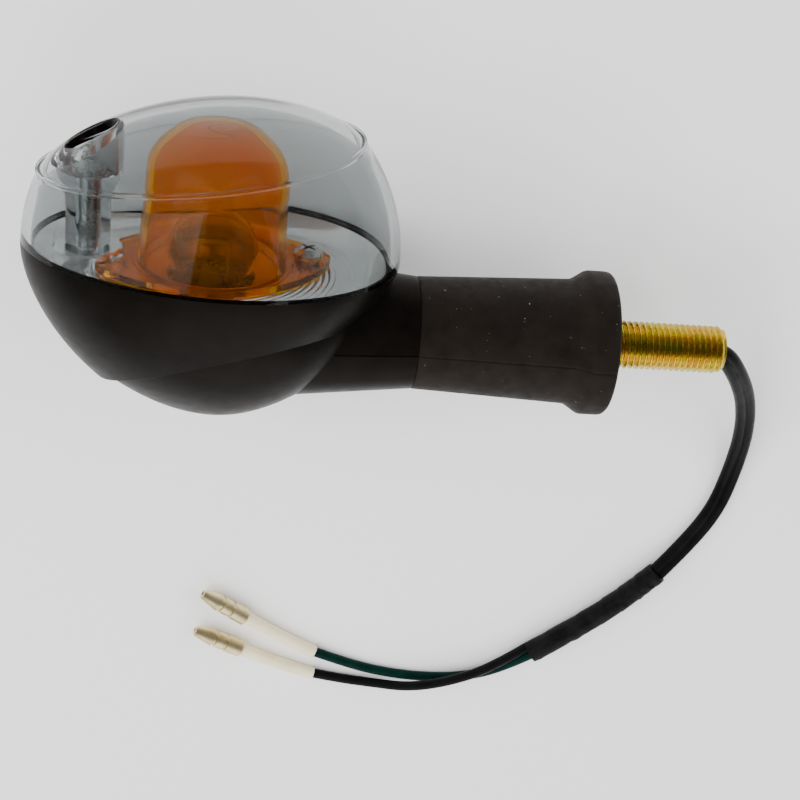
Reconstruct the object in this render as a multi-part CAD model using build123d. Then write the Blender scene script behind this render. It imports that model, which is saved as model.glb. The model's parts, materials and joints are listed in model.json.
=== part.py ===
from build123d import *
import os
from math import cos, pi, radians, sin, sqrt, tan

# Motorcycle turn signal on a flexible rubber stem, lying on its side on a flat surface.
# Units are millimetres. Origin: centre of the stem's mounting face, on the stud's axis.
# +X runs along the stud towards the vehicle, +Y is the way the lens faces, +Z is up.

# ---------------------------------------------------------------- driving dimensions
FLOOR_Z = -27.6                # the surface that the lamp and its cable lie on

# Mounting stud: M10 x 1.25, hollow for the cable
STUD_RADIUS = 5.0
STUD_SHANK_RADIUS = 5.3        # plain shank inside the rubber
STUD_PITCH = 1.25
STUD_THREAD_DEPTH = 0.7
STUD_CREST_WIDTH = 0.3
STUD_LENGTH = 25.0
STUD_BORE_RADIUS = 3.0
STUD_FLANGE_RADIUS = 9.5
STUD_FLANGE_THICKNESS = 2.5
STUD_FLANGE_X = -6.5           # outer face of the flange that is moulded into the rubber

# Rubber stem: a gentle taper with a collar at the vehicle end
STEM_HEAD_X = -40.7            # seam between the stem and the housing's neck
STEM_HEAD_RADIUS = 11.6
STEM_WAIST_X = -8.7
STEM_WAIST_RADIUS = 13.0
COLLAR_LENGTH = 5.0
COLLAR_RADIUS = 15.0
COLLAR_EDGE = 1.0
STEM_BORE_RADIUS = 4.2

# Housing: egg-shaped bowl, a rounder belly under it, and the neck towards the stem
HEAD_X = -82.8
HEAD_HALF_LENGTH = 37.66
HEAD_HALF_WIDTH = 27.45
HEAD_EGG = 0.072               # how much fuller the stem end of the outline is
RIM_Y = 16.1                   # plane where lens and housing meet
BOWL_DEPTH = 36.6
BOWL_POWER = 1.446
BOWL_DRIFT = -0.18             # sideways shift of the bowl for each mm of depth
CREASE_TOP_X = -52.0           # the bowl's lower edge is a parabola that falls away from here
CREASE_TOP_Y = 5.8
CREASE_CURVE = 0.0065
BELLY_X = -83.3
BELLY_Y = 4.9
BELLY_HALF_LENGTH = 32.4
BELLY_HALF_WIDTH = 21.85
BELLY_EGG = 0.131
BELLY_DEPTH = 25.4
BELLY_POWER = 1.6
BELLY_DRIFT = 0.065
NECK_TAPER = 0.105             # growth of the neck's radius per mm towards the bowl
NECK_INNER_X = -72.0
WALL = 2.4
PARTING_WIDTH = 0.3            # fine groove that the mould's halves leave along the neck
PARTING_DEPTH = 0.25
SPIGOT_RADIUS = 8.0
SPIGOT_BORE_RADIUS = 5.0
SPIGOT_END_X = -34.0
BOSS_RADIUS = 3.4              # screw bosses that stand up from the belly
LENS_SCREW_RADIUS = 1.7
CAP_SCREW_RADIUS = 1.4
SCREW_CLEARANCE = 0.2
BOWL_STEPS = [0, 3, 6, 10, 14, 18, 22, 26, 30]            # depths of the lofted sections
BELLY_STEPS = [-24.4, -23, -20, -16, -12, -8, -4, 0, 3, 6]

# Lens: clear shell that continues the bowl up to a tilted ring with a domed top
LENS_HEIGHT = 37.8
LENS_POWER = 1.93
LENS_WALL = 2.0
RING_X = -86.0
RING_Y = 35.3
RING_TILT = 9.3
RING_HALF_LENGTH = 32.4
RING_HALF_WIDTH = 22.9
DOME_HEIGHT = 9.9
DOME_FULLNESS = 1.11           # how far the dome's ellipsoid runs past its own edge
COLUMN_X = -107.3              # screw column inside the lens, far from the stem
COLUMN_RADIUS = 4.45
COLUMN_FOOT_Y = 15.4
POCKET_RADIUS = 5.2
POCKET_FLOOR_Y = 30.5
POCKET_WALL = 1.4
LENS_STEPS = [0, 4, 8, 12, 16, 20, 24, 27]

# Gasket in the housing's rim
GASKET_WIDTH = 1.0
GASKET_DEPTH = 1.2

# Reflector: flat floor round the bulb, with a skirt that rises to just under the rim
PLATE_TOP_Y = 12.3
PLATE_THICKNESS = 1.4
PLATE_CLEARANCE = 0.3
SKIRT_TOP_Y = 15.6
SKIRT_WIDTH = 4.5
DISH_RADIUS = 13.0
DISH_FLOOR_Y = 10.7
BULB_HOLE_RADIUS = 8.8
PAD_RADIUS = 7.0
PAD_TOP_Y = 15.3
PEG_RADIUS = 1.5
BOSS_TOP_Y = PLATE_TOP_Y - PLATE_THICKNESS

# Amber cap over the bulb
LAMP_X = -82.7                 # axis of bulb, socket and cap, along Y
CAP_FOOT_RADIUS = 14.9
CAP_SHOULDER_RADIUS = 13.9
CAP_SHOULDER_Y = 30.0
CAP_TOP_Y = 41.4
CAP_WALL = 1.5
FLANGE_TOP_Y = 13.8
FLANGE_HALF_LENGTH = 24.6
FLANGE_HALF_WIDTH = 16.0
FLANGE_TURN = 11.0             # turn of the leaf-shaped flange about the lamp's axis
CAP_SCREW_REACH = 19.7         # cap screw from the lamp's axis
PEG_REACH = 19.0               # locating peg from the lamp's axis
CAP_GAP = 0.1                  # between the cap's flange and the reflector
LUG_HALF_LENGTH = 6.0          # straight lug on the flange's upper side
LUG_REACH = 1.7
LUG_OFFSET = -2.0

# Bulb with a 15 mm bayonet base, and its socket
GLASS_RADIUS = 9.0
GLASS_Y = 15.6
BULB_BASE_RADIUS = 7.5
BULB_BASE_TOP_Y = 8.5
BULB_BASE_FOOT_Y = -7.0
BAYONET_PIN_Y = -3.0
BAYONET_PIN_RADIUS = 1.0
BAYONET_PIN_REACH = 8.6
SOCKET_BORE_RADIUS = 7.8
SOCKET_RADIUS = 8.4
SOCKET_TOP_Y = 9.0
SOCKET_FOOT_Y = -14.4
PLUNGE = 1.2                   # travel of the bulb and its sprung contact
BULB_TURN = 25.0               # turn that frees the bayonet pins, in degrees
BULB_CONTACT_Y = -9.5
GLASS_WALL = 0.7
GLASS_FOOT_Y = 4.0             # the glass is cemented into the base from here up
GLASS_NECK_Y = 11.0
INSULATOR_RADIUS = 4.2
INSULATOR_DROP = 1.2
SOLDER_RADIUS = 3.0
POST_SPAN = 3.2                # support wires from the lamp's axis
POST_RADIUS = 0.35
FILAMENT_Y = 17.2
FILAMENT_RADIUS = 0.55
SOCKET_WALL = 0.7
SOCKET_LIP = 2.4
PIN_HALF_ANGLE = 11.0          # room for a bayonet pin, in degrees
PIN_SLACK = 0.3
TAB_RISE = 5.4                 # earth tab over the socket's foot
TAB_LENGTH = 6.0
TAB_WIDTH = 4.8
CARRIER_RADIUS = 7.3
CARRIER_THICKNESS = 1.1
RIVET_RADIUS = 2.4
RIVET_HEAD_RADIUS = 3.2
RIVET_HEAD = 0.4
SPRING_RADIUS = 5.2
SPRING_WIRE = 0.3

# Cable and wires: centre lines along the surface, and radii
SHEATH_RADIUS = 2.3
TAPE_RADIUS = 2.9
WIRE_RADIUS = 1.15
SLEEVE_RADIUS = 1.45
BULLET_RADIUS = 2.1
BULLET_LENGTH = 12.4
LIFT = 0.05                    # clearance of the lying cable over the surface

SHEATH_Z = FLOOR_Z + SHEATH_RADIUS + LIFT
TAPE_Z = FLOOR_Z + TAPE_RADIUS + LIFT
WIRE_Z = FLOOR_Z + WIRE_RADIUS + LIFT
SLEEVE_Z = FLOOR_Z + SLEEVE_RADIUS + LIFT
BULLET_Z = FLOOR_Z + BULLET_RADIUS + LIFT
HUMP_Z = WIRE_Z + 3.4          # the black wire passes over the green one here

INNER_SHEATH_END_X = -36.0
LEAD_START_X = INNER_SHEATH_END_X - 0.4
TAB_Y = SOCKET_FOOT_Y + TAB_RISE
EARTH_LEAD_ROUTE = [
    (LEAD_START_X, 1.2, 0.3),
    (-48.0, 1.2, 0.9),
    (-60.5, -0.6, 1.4),
    (-65.0, -5.2, 1.4),
    (-68.5, TAB_Y, 1.4),
]
LIVE_LEAD_ROUTE = [
    (LEAD_START_X, -1.2, 0),
    (-48.0, -1.6, 0.9),
    (-58.3, -3.3, 1.4),
    (-64.2, -8.9, 1.4),
    (-68.6, -13.6, 1.2),
    (-74.6, -16.2, 0.6),
    (-81.0, -16.3, 0),
]

SHEATH_START_X = 19.0
SHEATH_ROUTE = [
    (SHEATH_START_X, 0, 0),
    (25.2, 0, 0),
    (32.0, -8.5, -6),
    (37.8, -18.5, -14),
    (41.4, -30, -21),
    (42.4, -42, SHEATH_Z),
    (40.2, -53.2, SHEATH_Z),
    (34.8, -63.2, SHEATH_Z),
    (28.6, -70.4, TAPE_Z),
]
TAPE_ROUTE = [
    (28.6, -70.4, TAPE_Z),
    (24.0, -75.7, TAPE_Z),
    (13.6, -85.4, TAPE_Z),
    (1.1, -94.6, TAPE_Z),
]
BLACK_ROUTE = [
    (0.36, -93.6, WIRE_Z + 0.9),
    (-8.2, -99.2, WIRE_Z + 2.4),
    (-18.0, -102.8, HUMP_Z),
    (-27.6, -104.9, HUMP_Z),
    (-36.8, -106.0, WIRE_Z + 0.3),
    (-45.0, -105.2, WIRE_Z),
]
BLACK_SPLIT = (-51.0, -103.8, SLEEVE_Z)
BLACK_SLEEVE_ROUTE = [
    (-57.8, -102.1, SLEEVE_Z),
    (-68.9, -97.0, BULLET_Z),
]
GREEN_ROUTE = [
    (1.84, -95.6, WIRE_Z + 0.9),
    (-5.8, -101.2, WIRE_Z),
    (-15.6, -103.8, WIRE_Z),
    (-26.4, -104.0, WIRE_Z),
    (-37.0, -102.4, WIRE_Z),
    (-45.4, -99.9, WIRE_Z),
]
GREEN_SPLIT = (-51.2, -97.6, SLEEVE_Z)
GREEN_SLEEVE_ROUTE = [
    (-58.4, -94.2, SLEEVE_Z),
    (-68.4, -88.0, BULLET_Z),
]

BIG = 200.0                    # size of cutting blocks, larger than the lamp
OUTLINE_POINTS = 24


# ---------------------------------------------------------------- shared shapes
def along_y(x, z=0.0):
    """Plane whose normal is +Y, so that a shape drawn on it stands along the lamp's axis."""
    return Plane(origin=(x, 0, z), x_dir=(1, 0, 0), z_dir=(0, 1, 0))


def rod_y(x, z, radius, low, high):
    """Solid cylinder along Y between two heights."""
    return extrude(along_y(x, z).offset(low) * Circle(radius), high - low)


def rod_x(radius, low, high):
    """Solid cylinder along the stud's axis between two positions."""
    return extrude(Plane.YZ.offset(low) * Circle(radius), high - low)


def turned_y(points, x=LAMP_X):
    """Solid of revolution about a line along Y through x. Points are (radius, y)."""
    outline = Polyline(*[(x + r, y) for r, y in points], close=True)
    return revolve(make_face(outline), axis=Axis((x, 0, 0), (0, 1, 0)))


def turned_x(points):
    """Solid of revolution about the stud's axis. Points are (x, radius)."""
    return revolve(make_face(Polyline(*points, close=True)), axis=Axis.X)


def egg_outline(x, y, length, width, egg=HEAD_EGG):
    """Oval in a plane of constant height, a little fuller towards the stem."""
    points = []
    for i in range(OUTLINE_POINTS):
        t = 2 * pi * i / OUTLINE_POINTS
        points.append((x + length * cos(t), y, width * sin(t) * (1 + egg * cos(t))))
    return make_face(Spline(*points, periodic=True))


def shrink(share, power):
    """Size of a section as a share of the widest one, at a share of the full height."""
    return (1 - abs(share) ** power) ** (1 / power)


def bowl_outline(depth, inset=0.0):
    """Section of the bowl at a depth below the rim."""
    size = shrink(depth / BOWL_DEPTH, BOWL_POWER)
    return egg_outline(HEAD_X + BOWL_DRIFT * depth, RIM_Y - depth,
                       HEAD_HALF_LENGTH * size - inset, HEAD_HALF_WIDTH * size - inset)


def belly_outline(height, inset=0.0):
    """Section of the belly at a height above its widest one."""
    size = shrink(height / BELLY_DEPTH, BELLY_POWER)
    return egg_outline(BELLY_X - BELLY_DRIFT * height, BELLY_Y + height,
                       BELLY_HALF_LENGTH * size - inset, BELLY_HALF_WIDTH * size - inset, BELLY_EGG)


def lens_outline(height, inset=0.0):
    """Section of the lens wall at a height above the rim."""
    size = shrink(height / LENS_HEIGHT, LENS_POWER)
    return egg_outline(HEAD_X, RIM_Y + height, HEAD_HALF_LENGTH * size - inset, HEAD_HALF_WIDTH * size - inset)


def ring_plane(lower=0.0):
    """Tilted plane of the lens's ring, optionally moved down into the lens."""
    t = radians(RING_TILT)
    up = Vector(-sin(t), cos(t), 0)
    origin = Vector(RING_X, RING_Y, 0) - up * lower
    return Plane(origin=origin, x_dir=(cos(t), sin(t), 0), z_dir=up)


def under_crease(raise_by=0.0):
    """Block that fills the space under the curved lower edge of the bowl."""
    curve = []
    for i in range(8):
        x = -125 + 12.5 * i
        curve.append((x, CREASE_TOP_Y + raise_by - CREASE_CURVE * (x - CREASE_TOP_X) ** 2))
    line = Spline(*curve)
    walls = Polyline(curve[-1], (curve[-1][0], -BIG), (curve[0][0], -BIG), curve[0])
    return extrude(make_face([line, walls]), BIG, both=True)


def below(plane):
    """Block that fills the space under a plane."""
    return extrude(plane * Rectangle(BIG, BIG), -BIG)


def above(plane):
    """Block that fills the space over a plane."""
    return extrude(plane * Rectangle(BIG, BIG), BIG)


def tube(route, radius, name):
    """Round tube along straight runs that are joined by tangent arcs."""
    points = [Vector(*p) for p in route]
    radii = []
    for before, corner, after in zip(points, points[1:], points[2:]):
        arriving = corner - before
        leaving = after - corner
        turn = radians(arriving.get_angle(leaving))
        radii.append(0.45 * min(arriving.length, leaving.length) / tan(turn / 2))
    path = FilletPolyline(*points, radius=radii) if radii else Line(*points)
    start = Plane(origin=points[0], z_dir=points[1] - points[0])
    body = sweep(start * Circle(radius), path=path)
    expected = pi * radius ** 2 * path.length
    print(name, "radii", [round(r, 1) for r in radii], "length", round(path.length, 1),
          "volume ratio", round(body.volume / expected, 4))
    return body


def save(shape, node):
    export_step(shape, "parts/" + node + ".step")


# ---------------------------------------------------------------- housing
def flange_point(reach):
    """Point on the leaf-shaped flange's long axis, towards the stem for a positive reach."""
    t = radians(FLANGE_TURN)
    return LAMP_X + reach * cos(t), -reach * sin(t)


CAP_SCREW_X, CAP_SCREW_Z = flange_point(CAP_SCREW_REACH)
PEG_X, PEG_Z = flange_point(-PEG_REACH)


def neck(radius_offset):
    """Tapered neck from inside the head to the stem, with its radius changed by an offset."""
    far = STEM_HEAD_RADIUS + NECK_TAPER * (STEM_HEAD_X - NECK_INNER_X)
    return turned_x([
        (NECK_INNER_X, 0),
        (NECK_INNER_X, far + radius_offset),
        (STEM_HEAD_X, STEM_HEAD_RADIUS + radius_offset),
        (STEM_HEAD_X, 0),
    ])


def make_housing():
    bowl = loft([bowl_outline(d) for d in BOWL_STEPS]) - under_crease()
    belly = loft([belly_outline(h) for h in BELLY_STEPS])
    parting = (neck(1) - neck(-PARTING_DEPTH)) & Box(BIG, PARTING_WIDTH, BIG)
    outside = bowl + belly + (neck(0) - parting)

    hollow_bowl = loft([bowl_outline(d, WALL) for d in BOWL_STEPS]) - under_crease(WALL)
    hollow_belly = loft([belly_outline(h, WALL) for h in BELLY_STEPS[1:-1]])
    body = outside - hollow_bowl - hollow_belly

    body += rod_x(SPIGOT_RADIUS, STEM_HEAD_X - WALL, SPIGOT_END_X)
    body -= rod_x(SPIGOT_BORE_RADIUS, BELLY_X + BELLY_HALF_LENGTH - 4 * WALL, SPIGOT_END_X + 1)

    for x, z, hole in ((COLUMN_X, 0, LENS_SCREW_RADIUS), (CAP_SCREW_X, CAP_SCREW_Z, CAP_SCREW_RADIUS)):
        boss = rod_y(x, z, BOSS_RADIUS, BELLY_Y - BELLY_DEPTH, BOSS_TOP_Y)
        body += boss & outside
        body -= rod_y(x, z, hole + SCREW_CLEARANCE, 0, BOSS_TOP_Y + 1)

    middle = WALL / 2
    groove = extrude(bowl_outline(0, middle - GASKET_WIDTH / 2), GASKET_DEPTH, dir=(0, -1, 0))
    groove -= extrude(bowl_outline(0, middle + GASKET_WIDTH / 2), GASKET_DEPTH, dir=(0, -1, 0))
    return body - groove, groove


# ---------------------------------------------------------------- reflector
def make_reflector():
    low = PLATE_TOP_Y - PLATE_THICKNESS
    edge = WALL + PLATE_CLEARANCE
    floor_inset = edge + SKIRT_WIDTH
    top = RIM_Y - SKIRT_TOP_Y
    drop = RIM_Y - PLATE_TOP_Y
    plate = loft([bowl_outline(drop + PLATE_THICKNESS, floor_inset), bowl_outline(top, edge)])
    plate -= loft([bowl_outline(drop, floor_inset), bowl_outline(top, edge + PLATE_THICKNESS)])
    plate += turned_y([
        (BULB_HOLE_RADIUS, DISH_FLOOR_Y - PLATE_THICKNESS),
        (BULB_HOLE_RADIUS, PLATE_TOP_Y),
        (DISH_RADIUS + 1, PLATE_TOP_Y),
        (DISH_RADIUS + 1, low),
        (DISH_RADIUS, DISH_FLOOR_Y - PLATE_THICKNESS),
    ])
    plate -= turned_y([(0, DISH_FLOOR_Y), (BULB_HOLE_RADIUS + 1, DISH_FLOOR_Y), (DISH_RADIUS, PLATE_TOP_Y + 1),
                       (0, PLATE_TOP_Y + 1)])
    plate -= rod_y(LAMP_X, 0, BULB_HOLE_RADIUS, 0, RIM_Y)
    plate += rod_y(COLUMN_X, 0, PAD_RADIUS, low, PAD_TOP_Y)
    plate += rod_y(PEG_X, PEG_Z, PEG_RADIUS, low, FLANGE_TOP_Y + 0.8)
    plate -= rod_y(COLUMN_X, 0, LENS_SCREW_RADIUS + SCREW_CLEARANCE, 0, RIM_Y)
    plate -= rod_y(CAP_SCREW_X, CAP_SCREW_Z, CAP_SCREW_RADIUS + SCREW_CLEARANCE, 0, RIM_Y)
    return plate


# ---------------------------------------------------------------- amber cap and its screw
def cap_form(inset):
    """Thimble that stands over the bulb: tapered wall and a flattened dome."""
    r = CAP_SHOULDER_RADIUS - inset
    rise = CAP_TOP_Y - inset - CAP_SHOULDER_Y
    foot = (LAMP_X + CAP_FOOT_RADIUS - inset, PLATE_TOP_Y + CAP_GAP)
    wall = Line(foot, (LAMP_X + r, CAP_SHOULDER_Y))
    crown = Spline(
        (LAMP_X + r, CAP_SHOULDER_Y),
        (LAMP_X + 0.93 * r, CAP_SHOULDER_Y + 0.46 * rise),
        (LAMP_X + 0.66 * r, CAP_SHOULDER_Y + 0.82 * rise),
        (LAMP_X, CAP_SHOULDER_Y + rise),
        tangents=((0, 1), (-1, 0)),
    )
    axis_line = Line((LAMP_X, CAP_SHOULDER_Y + rise), (LAMP_X, foot[1]))
    base = Line((LAMP_X, foot[1]), foot)
    return revolve(make_face([wall, crown, axis_line, base]), axis=Axis((LAMP_X, 0, 0), (0, 1, 0)))


def make_cap():
    low = PLATE_TOP_Y + CAP_GAP
    reach = (FLANGE_HALF_LENGTH ** 2 + FLANGE_HALF_WIDTH ** 2) / (2 * FLANGE_HALF_WIDTH)
    leaf = Circle(reach).moved(Location((0, FLANGE_HALF_WIDTH - reach, 0)))
    leaf &= Circle(reach).moved(Location((0, reach - FLANGE_HALF_WIDTH, 0)))
    leaf = fillet(leaf.vertices(), 2.0)
    t = radians(FLANGE_TURN)
    seat = Plane(origin=(LAMP_X, low, 0), x_dir=(cos(t), 0, -sin(t)), z_dir=(0, 1, 0))
    flange = extrude(seat * leaf, FLANGE_TOP_Y - low)
    flange += rod_y(LAMP_X, 0, CAP_FOOT_RADIUS + 0.8, low, FLANGE_TOP_Y)
    cap = flange + cap_form(0) - cap_form(CAP_WALL)
    lug = Box(2 * LUG_HALF_LENGTH, FLANGE_TOP_Y - low, 2 * LUG_REACH)
    lug_place = Location((LAMP_X + LUG_OFFSET, (FLANGE_TOP_Y + low) / 2, CAP_FOOT_RADIUS))
    cap += lug_place * lug - cap_form(CAP_WALL)
    cap -= rod_y(CAP_SCREW_X, CAP_SCREW_Z, CAP_SCREW_RADIUS + SCREW_CLEARANCE, 0, RIM_Y)
    cap -= rod_y(PEG_X, PEG_Z, PEG_RADIUS + PLATE_CLEARANCE, 0, RIM_Y)
    cap -= rod_y(COLUMN_X, 0, PAD_RADIUS + PLATE_CLEARANCE, 0, RIM_Y)
    return cap


def screw(x, z, seat_y, head_radius, head_height, shank_radius, length):
    """Pan-head screw along Y with a cross recess; seat_y is the underside of its head."""
    body = turned_y([
        (0, seat_y - length),
        (shank_radius * 0.4, seat_y - length),
        (shank_radius, seat_y - length + 1.6),
        (shank_radius, seat_y),
        (head_radius, seat_y),
        (head_radius, seat_y + head_height * 0.45),
        (head_radius * 0.62, seat_y + head_height),
        (0, seat_y + head_height),
    ], x)
    body = Location((0, 0, z)) * body
    slot = Box(head_radius * 1.15, 2.4, 0.75) + Box(0.75, 2.4, head_radius * 1.15)
    return body - Location((x, seat_y + head_height, z), (0, 45, 0)) * slot


# ---------------------------------------------------------------- lens
def dome_form(inset):
    """Top of the lens in the ring's tilted frame: a cap of an ellipsoid."""
    edge = sqrt(1 - 1 / DOME_FULLNESS ** 2)
    height = DOME_HEIGHT / (1 - edge)
    axes = (RING_HALF_LENGTH * DOME_FULLNESS - inset, RING_HALF_WIDTH * DOME_FULLNESS - inset, height - inset)
    return ring_plane() * (Location((0, 0, -height * edge)) * scale(Sphere(1), by=axes))


def lens_form(inset):
    wall = loft([lens_outline(h, inset) for h in LENS_STEPS])
    wall -= above(ring_plane(inset))
    dome = dome_form(inset) - below(ring_plane(inset + 0.5))
    return wall + dome


def make_lens():
    outside = lens_form(0)
    body = outside - lens_form(LENS_WALL)
    column = rod_y(COLUMN_X, 0, COLUMN_RADIUS, COLUMN_FOOT_Y, POCKET_FLOOR_Y - 1)
    column += turned_y([
        (0, POCKET_FLOOR_Y - 4),
        (COLUMN_RADIUS, POCKET_FLOOR_Y - 4),
        (POCKET_RADIUS + POCKET_WALL, POCKET_FLOOR_Y),
        (POCKET_RADIUS + POCKET_WALL, RING_Y + DOME_HEIGHT),
        (0, RING_Y + DOME_HEIGHT),
    ], COLUMN_X) & outside
    body += column
    body -= rod_y(COLUMN_X, 0, POCKET_RADIUS, POCKET_FLOOR_Y, RING_Y + DOME_HEIGHT)
    body -= rod_y(COLUMN_X, 0, LENS_SCREW_RADIUS + SCREW_CLEARANCE, 0, RING_Y)
    return body


# ---------------------------------------------------------------- bulb
def make_bulb_glass():
    neck_radius = BULB_BASE_RADIUS - 0.6
    outside = Location((LAMP_X, GLASS_Y, 0)) * Sphere(GLASS_RADIUS)
    outside += rod_y(LAMP_X, 0, neck_radius, GLASS_FOOT_Y, GLASS_NECK_Y)
    inside = Location((LAMP_X, GLASS_Y, 0)) * Sphere(GLASS_RADIUS - GLASS_WALL)
    inside += rod_y(LAMP_X, 0, neck_radius - GLASS_WALL, GLASS_FOOT_Y + GLASS_WALL, GLASS_NECK_Y)
    return outside - inside


def make_bulb_base():
    base = turned_y([
        (BULB_BASE_RADIUS - 0.5, BULB_BASE_TOP_Y),
        (BULB_BASE_RADIUS, BULB_BASE_TOP_Y),
        (BULB_BASE_RADIUS, BULB_BASE_FOOT_Y),
        (BULB_BASE_RADIUS - 0.5, BULB_BASE_FOOT_Y),
    ])
    root = BULB_BASE_RADIUS - 0.4
    section = Plane.XY.offset(root) * Pos(LAMP_X, BAYONET_PIN_Y) * Circle(BAYONET_PIN_RADIUS)
    pin = extrude(section, BAYONET_PIN_REACH - root)
    return base + pin + mirror(pin, Plane.XY)


def make_bulb_insulator():
    return turned_y([
        (0, BULB_BASE_FOOT_Y + 1.4),
        (BULB_BASE_RADIUS - 0.5, BULB_BASE_FOOT_Y + 1.4),
        (BULB_BASE_RADIUS - 0.5, BULB_BASE_FOOT_Y),
        (INSULATOR_RADIUS, BULB_BASE_FOOT_Y - INSULATOR_DROP),
        (0, BULB_BASE_FOOT_Y - INSULATOR_DROP),
    ])


def make_bulb_contact():
    return turned_y([
        (0, BULB_BASE_FOOT_Y - INSULATOR_DROP),
        (SOLDER_RADIUS, BULB_BASE_FOOT_Y - INSULATOR_DROP),
        (SOLDER_RADIUS, BULB_CONTACT_Y + 0.7),
        (SOLDER_RADIUS - 0.8, BULB_CONTACT_Y),
        (0, BULB_CONTACT_Y),
    ])


def make_bulb_mount():
    """Glass pinch with two support wires and the coiled filament between them."""
    foot_y = GLASS_FOOT_Y + GLASS_WALL
    pinch_y = GLASS_NECK_Y + 0.5
    mount = turned_y([(0, foot_y), (4.4, foot_y), (2.6, foot_y + 2.3), (1.8, pinch_y), (0, pinch_y)])
    for side in (-1, 1):
        mount += rod_y(LAMP_X + side * POST_SPAN, 0, POST_RADIUS, pinch_y - 1.3, FILAMENT_Y)
        mount += Pos(LAMP_X + side * POST_SPAN / 2, pinch_y - 1, 0) * Box(POST_SPAN, 0.6, 0.6)
    section = Plane.YZ.offset(LAMP_X - POST_SPAN) * Pos(FILAMENT_Y, 0) * Circle(FILAMENT_RADIUS)
    return mount + extrude(section, 2 * POST_SPAN)


# ---------------------------------------------------------------- socket
def sector_window(y_low, y_high, start, end):
    """Window through the socket's wall between two heights and two angles about the lamp's axis."""
    ring = rod_y(LAMP_X, 0, SOCKET_RADIUS + 1, y_low, y_high)
    ring -= rod_y(LAMP_X, 0, SOCKET_BORE_RADIUS - 1, y_low, y_high)
    reach = 2 * SOCKET_RADIUS
    corners = [(LAMP_X, y_low, 0)]
    for i in range(5):
        t = radians(start + (end - start) * i / 4)
        corners.append((LAMP_X + reach * sin(t), y_low, reach * cos(t)))
    wedge = make_face(Polyline(*corners, close=True))
    return ring & extrude(wedge, y_high - y_low, dir=(0, 1, 0))


def make_socket():
    shell = turned_y([
        (SOCKET_BORE_RADIUS, SOCKET_TOP_Y),
        (SOCKET_RADIUS + SOCKET_LIP, SOCKET_TOP_Y),
        (SOCKET_RADIUS + SOCKET_LIP, SOCKET_TOP_Y - SOCKET_WALL),
        (SOCKET_RADIUS, SOCKET_TOP_Y - SOCKET_WALL),
        (SOCKET_RADIUS, SOCKET_FOOT_Y),
        (RIVET_RADIUS, SOCKET_FOOT_Y),
        (RIVET_RADIUS, SOCKET_FOOT_Y + SOCKET_WALL),
        (SOCKET_BORE_RADIUS, SOCKET_FOOT_Y + SOCKET_WALL),
    ])
    low = BAYONET_PIN_Y - PLUNGE - BAYONET_PIN_RADIUS - PIN_SLACK
    high = BAYONET_PIN_Y + BAYONET_PIN_RADIUS + PIN_SLACK
    for side in (0, 180):
        free = side + BULB_TURN
        shell -= sector_window(low, high, side - PIN_HALF_ANGLE, free + PIN_HALF_ANGLE)
        shell -= sector_window(low, SOCKET_TOP_Y + 1, free - PIN_HALF_ANGLE, free + PIN_HALF_ANGLE)
    tab_x = LAMP_X + SOCKET_RADIUS + TAB_LENGTH / 2 - 0.4
    tab = Pos(tab_x, TAB_Y, 0) * Box(TAB_LENGTH, SOCKET_WALL, TAB_WIDTH)
    return shell + (tab - rod_y(LAMP_X, 0, SOCKET_BORE_RADIUS, SOCKET_FOOT_Y, 0))


def make_carrier():
    return turned_y([
        (RIVET_RADIUS, BULB_CONTACT_Y),
        (CARRIER_RADIUS, BULB_CONTACT_Y),
        (CARRIER_RADIUS, BULB_CONTACT_Y - CARRIER_THICKNESS),
        (RIVET_RADIUS, BULB_CONTACT_Y - CARRIER_THICKNESS),
    ])


def make_live_contact():
    low = BULB_CONTACT_Y - CARRIER_THICKNESS
    return turned_y([
        (0, BULB_CONTACT_Y),
        (RIVET_RADIUS, BULB_CONTACT_Y),
        (RIVET_RADIUS, low),
        (RIVET_HEAD_RADIUS, low),
        (RIVET_HEAD_RADIUS, low - RIVET_HEAD),
        (0, low - RIVET_HEAD),
    ])


def make_contact_spring():
    low = SOCKET_FOOT_Y + SOCKET_WALL + SPRING_WIRE
    high = BULB_CONTACT_Y - CARRIER_THICKNESS - SPRING_WIRE
    coil = Helix(pitch=(high - low) / 2, height=high - low, radius=SPRING_RADIUS)
    section = Plane(origin=coil @ 0, z_dir=coil % 0) * Circle(SPRING_WIRE)
    spring = sweep(section, path=coil, is_frenet=True)
    return Location((LAMP_X, low, 0)) * (Rotation(-90, 0, 0) * spring)


# ---------------------------------------------------------------- stem and stud
def make_stem():
    return turned_x([
        (STEM_HEAD_X, SPIGOT_RADIUS + 0.2),
        (STEM_HEAD_X, STEM_HEAD_RADIUS),
        (STEM_WAIST_X, STEM_WAIST_RADIUS),
        (-COLLAR_LENGTH, COLLAR_RADIUS),
        (-COLLAR_EDGE, COLLAR_RADIUS),
        (-COLLAR_EDGE * 0.3, COLLAR_RADIUS - COLLAR_EDGE * 0.3),
        (0, COLLAR_RADIUS - COLLAR_EDGE),
        (0, STUD_SHANK_RADIUS),
        (STUD_FLANGE_X, STUD_SHANK_RADIUS),
        (STUD_FLANGE_X, STUD_FLANGE_RADIUS),
        (STUD_FLANGE_X - STUD_FLANGE_THICKNESS, STUD_FLANGE_RADIUS),
        (STUD_FLANGE_X - STUD_FLANGE_THICKNESS, STEM_BORE_RADIUS),
        (SPIGOT_END_X + 0.5, STEM_BORE_RADIUS),
        (SPIGOT_END_X + 0.5, SPIGOT_RADIUS + 0.2),
    ])


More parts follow.
